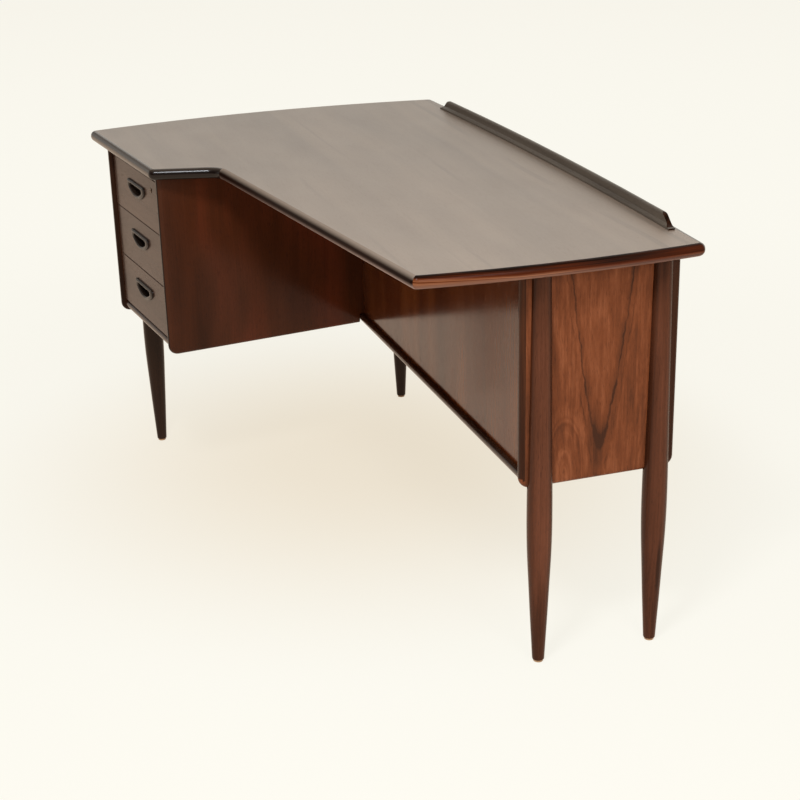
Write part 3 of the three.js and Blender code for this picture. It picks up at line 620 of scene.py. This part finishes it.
def solid_of(node):
    """The CAD solid with its corners merged and its flats whole."""
    bm = bmesh.new()
    bm.from_mesh(frame["nodes"][node].data)
    for layer in list(bm.loops.layers.uv.values()):
        bm.loops.layers.uv.remove(layer)
    bmesh.ops.remove_doubles(bm, verts=bm.verts, dist=MERGED)
    bmesh.ops.dissolve_limit(bm, angle_limit=FLAT, verts=bm.verts, edges=bm.edges)
    return bm


def ease_edges(bm, radius):
    sharp = [e for e in bm.edges if e.is_manifold and e.calc_face_angle(0) > SHARP_ABOVE]
    bmesh.ops.bevel(
        bm, geom=sharp, offset=radius, segments=2, profile=0.5, affect="EDGES", clamp_overlap=True)


def add_board(node, wood, slot, along, across, arris=ARRIS, **settings):
    bm = solid_of(node)
    if arris:
        ease_edges(bm, arris)
    return add_piece(bm, node, wood, slot, along, across, **settings)


def recolour(piece, index, chosen):
    """Gives the chosen faces of a piece one of its other materials."""
    for polygon in piece.data.polygons:
        if chosen(polygon):
            polygon.material_index = index


def loft(rings):
    """A closed shape through rings of equally many points, in order."""
    bm = bmesh.new()
    loops = [[bm.verts.new(point) for point in ring] for ring in rings]
    for lower, upper in zip(loops, loops[1:]):
        for i in range(len(lower)):
            j = (i + 1) % len(lower)
            bm.faces.new((lower[i], lower[j], upper[j], upper[i]))
    bm.faces.new(reversed(loops[0]))
    bm.faces.new(loops[-1])
    return bm


def round_ring(radius, height, face=None):
    """A level circle about the origin, cut flat at x = face where that is given."""
    ring = []
    for step in range(ROUND_SIDES):
        angle = 2 * math.pi * step / ROUND_SIDES
        x = radius * math.cos(angle)
        y = radius * math.sin(angle)
        ring.append(Vector((x if face is None else max(x, face), y, height)))
    return ring


def quarter_turn(steps):
    return [math.pi / 2 * step / steps for step in range(steps + 1)]


# ---------------------------------------------------------------- boards that keep the CAD's outline

# The lippings are lit and shaded copies of one strip: painted light on the right end, painted shade on the
# front and the return.
LIPPINGS = (LIPPING, END_LIPPING, FRONT_LIPPING, RETURN_LIPPING)
end_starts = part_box("right_end_panel")[0].x
knee_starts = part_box("pedestal_inner_panel")[1].x + RETURN_REACH


def lipping_at(face):
    """The lipping that a face of the desktop's edge shows: a lighter copy, painted light, on the right end;
    darker copies, painted shade, along the front over the knees and on the return beside the drawers; the
    plain one elsewhere.
    """
    if face.center.x > end_starts and face.normal.x > abs(face.normal.y):
        return END_LIPPING
    if face.center.x > knee_starts and face.center.y < 0:
        return FRONT_LIPPING
    if face.center.y < 0 and face.normal.x > RETURN_TURN:
        return RETURN_LIPPING
    return LIPPING


def make_desktop():
    top = add_board(
        "desktop", TOP_WOOD, "rosewood_top", RIGHT, BACK, arris=0, shift=NO_SHIFT, edge=LIPPINGS[0])
    for other in LIPPINGS[1:]:
        top.data.materials.append(other)
    for face in top.data.polygons:
        if face.material_index:
            face.material_index = 1 + LIPPINGS.index(lipping_at(face))


make_desktop()
lip = add_board("back_lip", LIP_WOOD, "rosewood_top", RIGHT, UP, arris=0, edge=DARK_AND_SHADED_EDGE_WOOD)
recolour(lip, 0, lambda face: face.normal.x <= LIP_END_TURN)
end = add_board(
    "right_end_panel", END_WOOD, "rosewood_panel", UP, BACK, arris=0, shift=NO_SHIFT, edge=EDGE_WOOD)
recolour(end, 0, lambda face: face.normal.z < END_UNDER_TURN)
add_board("left_end_panel", PANEL_WOOD, "rosewood_panel", UP, LEFT_SIDE.back, arris=0, edge=DARK_AND_SHADED_EDGE_WOOD)
inner = add_board(
    "pedestal_inner_panel", INNER_WOOD, "rosewood_panel", UP, PEDESTAL.back, arris=0, edge=DARK_AND_SHADED_EDGE_WOOD)
recolour(inner, 0, lambda face: abs(face.normal.dot(PEDESTAL.across)) > NOSE_VENEERED)
for node in ("case_floor", "shelf_middle", "shelf_right"):
    add_board(node, PANEL_WOOD, "rosewood_panel", RIGHT, BACK, edge=BOARD_EDGE_WOOD)
for node in ("pedestal_floor", "pedestal_top_rail"):
    add_board(node, PANEL_WOOD, "rosewood_panel", PEDESTAL.across, PEDESTAL.back, edge=BOARD_EDGE_WOOD)
add_board("knee_panel", KNEE_WOOD, "rosewood_panel", UP, RIGHT)
for node in ("cupboard_divider", "shelf_divider"):
    add_board(node, PANEL_WOOD, "rosewood_panel", UP, BACK)
add_board("door", PANEL_WOOD, "rosewood_panel", UP, RIGHT)

# ---------------------------------------------------------------- legs and glides

# The left legs take the leg wood darkened with painted shade.
LEG_WOODS = {
    "front_left": SHADED_LEG_WOOD, "back_left": SHADED_LEG_WOOD,
    "front_right": LEG_WOOD, "back_right": STREAKED_LEG_WOOD,
}


def leg_profile(node, axis):
    """Heights and radii of the turned leg, from the CAD solid's rings, lowest first."""
    widest = {}
    for point in points_of(node):
        height = round(point.z, 5)
        widest[height] = max((point - axis).to_2d().length, widest.get(height, 0))
    return sorted(widest.items())


def between(points, height):
    """The radius at a height, on a smooth curve through the profile's points."""
    last = len(points) - 1
    i = next(i for i in range(last) if points[i + 1][0] >= height or i == last - 1)
    (h0, r0), (h1, r1) = points[i], points[i + 1]
    before = points[max(i - 1, 0)]
    after = points[min(i + 2, last)]
    t = (height - h0) / (h1 - h0)
    m0 = (r1 - before[1]) / (h1 - before[0]) * (h1 - h0)
    m1 = (after[1] - r0) / (after[0] - h0) * (h1 - h0)
    return ((2 * t ** 3 - 3 * t ** 2 + 1) * r0 + (t ** 3 - 2 * t ** 2 + t) * m0
            + (3 * t ** 2 - 2 * t ** 3) * r1 + (t ** 3 - t ** 2) * m1)


def make_leg(corner, outward, case_bottom):
    """A turned leg with a rounded foot. Beside the case its back is flat against the end panel."""
    node = "leg_" + corner
    axis = centre("glide_" + corner)
    points = leg_profile(node, axis)
    foot = points[0][0]
    edge = points[1][0] - foot
    curve = points[1:]
    start = curve[0][0]
    top = curve[-1][0]
    beside = [point for point in points_of(node) if point.z > case_bottom + edge]
    face = min((point - axis).dot(outward) for point in beside)

    rings = []
    for turn in quarter_turn(FOOT_STEPS):
        radius = curve[0][1] - edge * (1 - math.sin(turn))
        rings.append(round_ring(radius, foot + edge * (1 - math.cos(turn))))
    for step in range(1, LEG_RINGS + 1):
        height = start + (case_bottom - start) * step / LEG_RINGS
        rings.append(round_ring(between(curve, height), height))
    for step in range(LEG_RINGS + 1):
        height = case_bottom + (top - case_bottom) * step / LEG_RINGS
        rings.append(round_ring(between(curve, height), height, face))

    place = Place(UP.cross(outward), Vector((axis.x, axis.y, 0)))
    billet = Vector((0, 0, BILLET_SHIFT * next(seeds)))
    add_piece(loft(rings), node, LEG_WOODS[corner], "rosewood_leg", UP, place.back, place, shift=billet)


def make_glide(corner):
    node = "glide_" + corner
    low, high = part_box(node)
    middle = centre(node)
    radius = (high.x - low.x) / 2
    rings = []
    for turn in quarter_turn(FOOT_STEPS):
        inset = GLIDE_ROUNDING * (1 - math.sin(turn))
        rings.append(round_ring(radius - inset, GLIDE_ROUNDING * (1 - math.cos(turn))))
    rings.append(round_ring(radius, high.z))
    add_piece(loft(rings), node, GLIDE, "glide_plastic", place=DESK.at((middle.x, middle.y, 0)))


case_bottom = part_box("right_end_panel")[0].z
for corner, outward in (
    ("front_right", RIGHT), ("back_right", RIGHT),
    ("front_left", -LEFT_SIDE.across), ("back_left", -LEFT_SIDE.across),
):
    make_leg(corner, outward, case_bottom)
    make_glide(corner)

# ---------------------------------------------------------------- pulls and locks


def arc(middle, radius, start, end, steps):
    angles = [start + (end - start) * step / steps for step in range(steps + 1)]
    return [(middle[0] + radius * math.cos(a), middle[1] + radius * math.sin(a)) for a in angles]


def half_moon(width, height, corner):
    """A half-moon with its flat edge up and round corners, about the origin."""
    half_width = width / 2 - corner
    half_height = height / 2 - corner
    radius = (half_width ** 2 + 4 * half_height ** 2) / (4 * half_height)
    spread = math.asin(min(1, half_width / radius))
    low = -math.pi / 2
    return (
        arc((0, radius - half_height), radius + corner, low - spread, low + spread, BOW_STEPS)
        + arc((half_width, half_height), corner, low + spread, math.pi / 2, CORNER_STEPS)[1:]
        + arc((-half_width, half_height), corner, math.pi / 2, math.pi * 1.5 - spread, CORNER_STEPS)[:-1]
    )


def cup_outline(outside=0.0):
    return half_moon(CUP_WIDTH + 2 * outside, CUP_HEIGHT + 2 * outside, CUP_CORNER + outside)


def make_pull(node, place):
    """A pull drawn with y into the wood: the back of its cup, its rim from the wood out, then its bowl."""
    low, high = place.box(node)
    middle = (low + high) / 2
    width = high.x - low.x
    height = high.z - low.z
    origin = place.matrix @ Vector((middle.x, 0, middle.z))
    proud = low.y
    depth = high.y
    face = depth - CUP_DEPTH
    shoulder = proud + RIM_CROWN
    floor = depth - CUP_FLOOR
    turns = quarter_turn(ROUNDING_STEPS)

    def outer(inset):
        return half_moon(width - 2 * inset, height - 2 * inset, PULL_CORNER - inset)

    def ring(outline, y):
        return [Vector((u, y, v)) for u, v in outline]

    def rim(share):
        """An outline between the pull's own, at 0, and its mouth's, at 1; the rim is highest half way."""
        own, mouth = outer(PULL_ROUNDING), cup_outline(MOUTH_ROUNDING)
        sunk = RIM_CROWN * (2 * share - 1) ** 2
        return [Vector((u0 + (u1 - u0) * share, proud + sunk, v0 + (v1 - v0) * share))
                for (u0, v0), (u1, v1) in zip(own, mouth)]

    rings = [ring(cup_outline(CUP_WALL), depth), ring(cup_outline(CUP_WALL), face), ring(outer(0), face)]
    for turn in turns[:-1]:
        outline = outer(PULL_ROUNDING * (1 - math.cos(turn)))
        rings.append(ring(outline, shoulder + PULL_ROUNDING * (1 - math.sin(turn))))
    rings += [rim(step / RIM_STEPS) for step in range(RIM_STEPS + 1)]
    for turn in turns[1:]:
        outline = cup_outline(MOUTH_ROUNDING * (1 - math.sin(turn)))
        rings.append(ring(outline, shoulder + MOUTH_ROUNDING * (1 - math.cos(turn))))
    for turn in turns:
        outline = cup_outline(-BOWL_ROUNDING * (1 - math.cos(turn)))
        rings.append(ring(outline, floor - BOWL_ROUNDING * (1 - math.sin(turn))))
    add_piece(loft(rings), node, PULL_WOOD, "pull_wood", place.across, UP, place.at(origin))


def keyhole(angle):
    """How far the keyhole reaches from the lock's middle in a direction, 0 being straight down."""
    if math.cos(angle) <= 0:
        return KEY_RADIUS
    side = KEY_SLOT / 2 / max(abs(math.sin(angle)), 1e-6)
    return max(KEY_RADIUS, min(side, KEY_DROP / math.cos(angle)))


def make_lock(node, place):
    low, high = place.box(node)
    middle = (low + high) / 2
    radius = (high.x - low.x) / 2
    origin = place.matrix @ Vector((middle.x, 0, middle.z))
    angles = [2 * math.pi * step / ROUND_SIDES for step in range(ROUND_SIDES)]

    def ring(reach, y):
        return [Vector((reach(a) * math.sin(a), y, -reach(a) * math.cos(a))) for a in angles]

    rings = [
        ring(lambda a: radius, high.y),
        ring(lambda a: radius, low.y + LOCK_ROUNDING),
        ring(lambda a: radius - LOCK_ROUNDING, low.y),
        ring(keyhole, low.y),
        ring(keyhole, high.y - LOCK_ROUNDING),
    ]
    add_piece(loft(rings), node, BRASS, "brass", place=place.at(origin))


# ---------------------------------------------------------------- drawers

for index in (1, 2, 3):
    label = f"drawer_{index}"
    add_board(label + "_front", FRONT_WOOD, "rosewood_front", PEDESTAL.across, UP)
    make_pull(label + "_pull", PEDESTAL)
    for part in ("_side_left", "_side_right"):
        add_board(label + part, LINING, "drawer_lining", PEDESTAL.back, UP, arris=LINING_ARRIS)
    add_board(label + "_back", LINING, "drawer_lining", PEDESTAL.across, UP)
    add_board(label + "_bottom", LINING, "drawer_lining", PEDESTAL.across, PEDESTAL.back)
    for side in ("left", "right"):
        add_board(f"runner_{index}_{side}", LINING, "drawer_lining", PEDESTAL.back, UP)
make_lock("drawer_1_lock", PEDESTAL)
make_pull("door_pull", REAR)
make_lock("door_lock", REAR)

# ---------------------------------------------------------------- hinges


def make_hinge(node):
    """A barrel of knuckles with a groove between each two."""
    low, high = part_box(node)
    middle = centre(node)
    radius = (high.x - low.x) / 2
    span = (high.z - low.z) / KNUCKLES
    rings = []
    for index in range(KNUCKLES):
        start = low.z + index * span
        for inset, height in (
            (KNUCKLE_GROOVE, start), (KNUCKLE_GROOVE, start + KNUCKLE_GAP), (0, start + 2 * KNUCKLE_GAP),
            (0, start + span - 2 * KNUCKLE_GAP), (KNUCKLE_GROOVE, start + span - KNUCKLE_GAP),
        ):
            rings.append(round_ring(radius - inset, height))
    rings.append(round_ring(radius - KNUCKLE_GROOVE, high.z))
    add_piece(loft(rings), node, BRASS, "brass", place=DESK.at((middle.x, middle.y, 0)))


for node in ("door_hinge_low", "door_hinge_high"):
    make_hinge(node)

# ---------------------------------------------------------------- floor, light and camera

FLOOR_REACH = 14
FLOOR_COLOUR = (0.95, 0.93, 0.86)
FLOOR_MOTTLED = 1.02          # the palest patches of the floor, as a share of its colour
FLOOR_SHOWN = (1.00, 0.985, 0.905)
FLOOR_PAINTED_SHADOW = (0.90, 0.815, 0.67)   # painted shadow near the desk, warmed as by light off the wood
FLOOR_IN_GLOSS = (1.00, 0.78, 0.60)
PAINTED_SHADOW_PLACE = (-0.30, 0.10, 0.0)
PAINTED_SHADOW_EDGE = (0.1, 1.0)
NEAR_GLOW = 0.86              # share of the floor's look near the desk that is its own glow, not the lamps'
FAR_GLOW = 0.92               # the same far from it
FAR_EDGE = (0.9, 2.6)
FADING_EDGE = (2.6, 9.0)      # where the floor turns into the backdrop
BACKDROP = (0.930, 0.905, 0.825)
WALLS = (1.0, 0.96, 0.88)
DARK_ROOM = (0.06, 0.055, 0.05)
AMBIENT = (0.44, 0.375, 0.31)
LAMP_COLOUR = (0.97, 1.0, 1.06)
WALL_TOP = 0.85               # sine of the height at which the pale walls end
WALL_FRONT = -0.10            # they end this far towards the sitter, too
WALL_BLUR = 0.06              # half the width of those soft ends
SIDE_WALL = 0.6               # brightness of the low wall left of the sitter
SIDE_EDGE = (0.2, -0.2)
SIDE_TOP = (0.45, 0.15)


def seen_or_mirrored(shader):
    """1 for a ray that comes from the camera or from a gloss, 0 for one that lights."""
    path = shader.add("LightPath", {})
    return shader.maths("MAXIMUM", path.outputs["Is Camera Ray"], path.outputs["Is Glossy Ray"])


def studio_paper():
    """Matt pale paper that glows a little, has a painted warm shadow beside the desk and fades into the
    backdrop.
    """
    shader = Surface("studio paper")
    place = shader.add("TexCoord", {}).outputs["Object"]
    cloud = shader.noise(shader.scaled(place, (1.4, 1.4, 1.4)), detail=2.0)
    tone = shader.ramp(cloud, [(0.3, FLOOR_COLOUR), (0.7, tuple(FLOOR_MOTTLED * c for c in FLOOR_COLOUR))])
    shader.feed(shader.surface.inputs["Base Color"], tone)
    shader.surface.inputs["Roughness"].default_value = 0.9
    shader.surface.inputs["Specular IOR Level"].default_value = 0.1

    away = shader.add("VectorMath", {0: place}, operation="LENGTH").outputs["Value"]
    beside = shader.add("VectorMath", {0: place, 1: PAINTED_SHADOW_PLACE}, operation="DISTANCE").outputs["Value"]
    far = shader.step(away, *FAR_EDGE)
    fading = shader.step(away, *FADING_EDGE)
    # Painted shadow: the floor is darker and warmer near the desk.
    shown = shader.mix(shader.step(beside, *PAINTED_SHADOW_EDGE), FLOOR_PAINTED_SHADOW, FLOOR_SHOWN)
    faded = shader.mix(fading, shown, BACKDROP)
    glossy = shader.add("LightPath", {}).outputs["Is Glossy Ray"]
    tinted = shader.mix(glossy, faded, FLOOR_IN_GLOSS)
    glow = shader.add("Emission", {"Color": tinted, "Strength": 1.0})
    glowing = shader.plus(
        NEAR_GLOW, shader.times(far, FAR_GLOW - NEAR_GLOW), shader.times(fading, 1.0 - FAR_GLOW))
    share = shader.times(seen_or_mirrored(shader), glowing)
    mixed = shader.add("MixShader", {0: share, 1: shader.surface.outputs[0], 2: glow.outputs[0]})
    shader.feed(shader.tree.nodes["Material Output"].inputs["Surface"], mixed.outputs[0])
    return shader.material


def make_floor():
    bm = bmesh.new()
    bmesh.ops.create_grid(bm, x_segments=1, y_segments=1, size=FLOOR_REACH)
    mesh = bpy.data.meshes.new("floor")
    bm.to_mesh(mesh)
    bm.free()
    mesh.materials.append(studio_paper())
    floor = bpy.data.objects.new("floor", mesh)
    bpy.context.scene.collection.objects.link(floor)


def make_world():
    """Even light all round. Gloss shows pale walls behind the desk, a dimmer low wall at the left, and a
    dark room elsewhere."""
    world = bpy.data.worlds.new("studio")
    bpy.context.scene.world = world
    shader = Shader(world)
    parts = shader.add("SeparateXYZ", {0: shader.add("TexCoord", {}).outputs["Generated"]})
    across, back, up = parts.outputs
    low = shader.step(up, WALL_TOP + WALL_BLUR, WALL_TOP - WALL_BLUR)
    behind = shader.step(back, WALL_FRONT - WALL_BLUR, WALL_FRONT + WALL_BLUR)
    left = shader.times(shader.step(across, *SIDE_EDGE), SIDE_WALL)
    side = shader.times(left, shader.step(up, *SIDE_TOP))
    room = shader.mix(shader.maths("MAXIMUM", shader.times(low, behind), side), DARK_ROOM, WALLS)

    path = shader.add("LightPath", {})
    ambient = shader.add("Background", {"Color": (*AMBIENT, 1)})
    mirrored = shader.add("Background", {"Color": room})
    seen = shader.add("Background", {"Color": (*BACKDROP, 1)})
    for_gloss = shader.add(
        "MixShader", {0: path.outputs["Is Glossy Ray"], 1: ambient.outputs[0], 2: mirrored.outputs[0]})
    for_camera = shader.add(
        "MixShader", {0: path.outputs["Is Camera Ray"], 1: for_gloss.outputs[0], 2: seen.outputs[0]})
    shader.feed(shader.tree.nodes["World Output"].inputs["Surface"], for_camera.outputs[0])


def add_lamp(name, position, target, size, power):
    """A square soft lamp."""
    light = bpy.data.lights.new(name, "AREA")
    light.shape = "SQUARE"
    light.size = size
    light.energy = power
    light.color = LAMP_COLOUR
    lamp = bpy.data.objects.new(name, light)
    lamp.location = position
    lamp.rotation_euler = (Vector(target) - Vector(position)).to_track_quat("-Z", "Y").to_euler()
    bpy.context.scene.collection.objects.link(lamp)


CAMERA_PLACE = Vector((2.86995, -0.84989, 1.44422))
CAMERA_TURN = math.radians(72.012)      # round the desk from straight in front of it
CAMERA_TILT = math.radians(21.543)      # down
CAMERA_ROLL = math.radians(-1.422)
CAMERA_LENS = 72.73                     # millimetres, on a sensor of the next width
CAMERA_SENSOR = 36


def make_camera():
    """The photograph's camera, which was worked out from the perspective of the desk in it."""
    out = Vector((math.sin(CAMERA_TURN) * math.cos(CAMERA_TILT),
                  -math.cos(CAMERA_TURN) * math.cos(CAMERA_TILT), math.sin(CAMERA_TILT)))
    level = Vector((math.cos(CAMERA_TURN), math.sin(CAMERA_TURN), 0))
    rise = out.cross(level)
    right = math.cos(CAMERA_ROLL) * level + math.sin(CAMERA_ROLL) * rise
    up = math.cos(CAMERA_ROLL) * rise - math.sin(CAMERA_ROLL) * level
    turn = Matrix((right, up, out)).transposed().to_4x4()
    lens = bpy.data.cameras.new("camera")
    lens.lens = CAMERA_LENS
    lens.sensor_width = CAMERA_SENSOR
    camera = bpy.data.objects.new("camera", lens)
    camera.matrix_world = Matrix.Translation(CAMERA_PLACE) @ turn
    bpy.context.scene.collection.objects.link(camera)
    bpy.context.scene.camera = camera


make_floor()
make_world()
add_lamp("key", position=(1.6, -0.95, 2.6), target=(0.3, 0.0, 0.5), size=0.5, power=38)
add_lamp("fill", position=(3.0, 0.2, 1.9), target=(0.6, 0.1, 0.4), size=1.2, power=22)
make_camera()
bpy.context.scene.view_settings.view_transform = "Standard"
